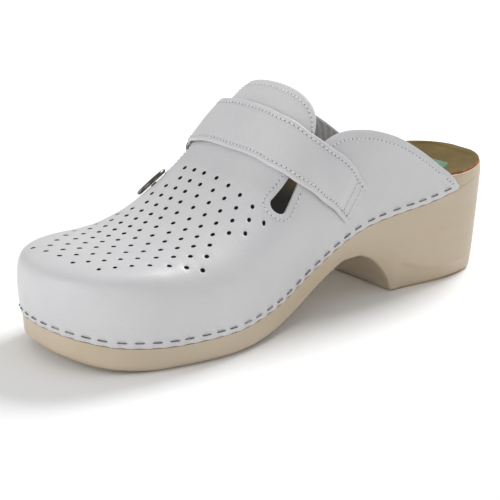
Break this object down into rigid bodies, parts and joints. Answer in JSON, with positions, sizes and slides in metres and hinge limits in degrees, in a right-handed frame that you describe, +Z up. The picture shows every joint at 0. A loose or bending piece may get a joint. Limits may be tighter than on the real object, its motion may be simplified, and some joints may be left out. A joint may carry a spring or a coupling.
{
  "type": "clog",
  "caption": "Slip-on clog: block-heeled wooden sole, leather upper stapled round its edge, slit and perforated vamp, buckled strap across the instep.",
  "frame": {"origin": "middle of the clog's footprint, on the floor", "axes": "+X from heel to toe, +Y towards the wearer's inner (medial) side, +Z up"},
  "size_m": [0.2574, 0.1062, 0.1067],
  "materials": {
    "painted_wood": "matte lacquer",
    "tread_rubber": "matte",
    "foam": "matte foam",
    "insole_suede": "napped",
    "heel_patch": "printed",
    "white_leather": "smooth semi-gloss",
    "grey_lining": "textile",
    "stiffener": "impregnated fabric",
    "hook_and_loop": "hook and loop tape",
    "nickel": "polished nickel",
    "staple_steel": "bright wire"
  },
  "bodies": {
    "clog": {"footbed_foam": "foam", "forefoot_tread": "tread_rubber", "heel_patch": "heel_patch", "heel_tread": "tread_rubber", "insole_cover": "insole_suede", "loop_patch": "hook_and_loop", "ornament": "nickel", "ornament_rivet": "nickel", "ornament_washer": "staple_steel", "staple_01": "staple_steel", "staple_02": "staple_steel", "staple_03": "staple_steel", "staple_04": "staple_steel", "staple_05": "staple_steel", "staple_06": "staple_steel", "staple_07": "staple_steel", "staple_08": "staple_steel", "staple_09": "staple_steel", "staple_10": "staple_steel", "staple_11": "staple_steel", "staple_12": "staple_steel", "staple_13": "staple_steel", "staple_14": "staple_steel", "staple_15": "staple_steel", "staple_16": "staple_steel", "staple_17": "staple_steel", "staple_18": "staple_steel", "staple_19": "staple_steel", "staple_20": "staple_steel", "staple_21": "staple_steel", "staple_22": "staple_steel", "staple_23": "staple_steel", "staple_24": "staple_steel", "staple_25": "staple_steel", "staple_26": "staple_steel", "staple_27": "staple_steel", "staple_28": "staple_steel", "staple_29": "staple_steel", "staple_30": "staple_steel", "staple_31": "staple_steel", "staple_32": "staple_steel", "strap_anchor": "white_leather", "tab_padding": "foam", "toe_puff": "stiffener", "upper_leather": "white_leather", "upper_lining": "grey_lining", "wooden_sole": "painted_wood"},
    "strap": {"strap": "white_leather", "strap_lining": "grey_lining"},
    "strap_end": {"strap_end": "white_leather", "hook_patch": "hook_and_loop", "chape": "white_leather", "strap_keeper": "white_leather"},
    "buckle_frame": {"buckle_frame": "nickel"},
    "buckle_prong": {"buckle_prong": "nickel"}
  },
  "joints": [
    {"name": "strap_open", "type": "hinge", "parent": "clog", "child": "strap", "pos_m": [-0.02595, 0.03936, 0.05849], "axis": [-0.6156, -0.0653, 0.7853], "range_deg": [0, 100]},
    {"name": "strap_end_peel", "type": "hinge", "parent": "strap", "child": "strap_end", "pos_m": [0.00643, -0.02998, 0.08704], "axis": [-0.6783, 0.1206, 0.7248], "range_deg": [0, 41]},
    {"name": "buckle_tilt", "type": "hinge", "parent": "strap_end", "child": "buckle_frame", "pos_m": [-0.01656, -0.04642, 0.0677], "axis": [0.6407, -0.1835, -0.7456], "range_deg": [0, 45]},
    {"name": "prong_pivot", "type": "hinge", "parent": "buckle_frame", "child": "buckle_prong", "pos_m": [-0.01656, -0.04642, 0.0677], "axis": [0.6407, -0.1835, -0.7456], "range_deg": [0, 60]}
  ],
  "couplings": [
    {"joint": "strap_end_peel", "follows": "strap_open", "ratio": 0.4}
  ]
}
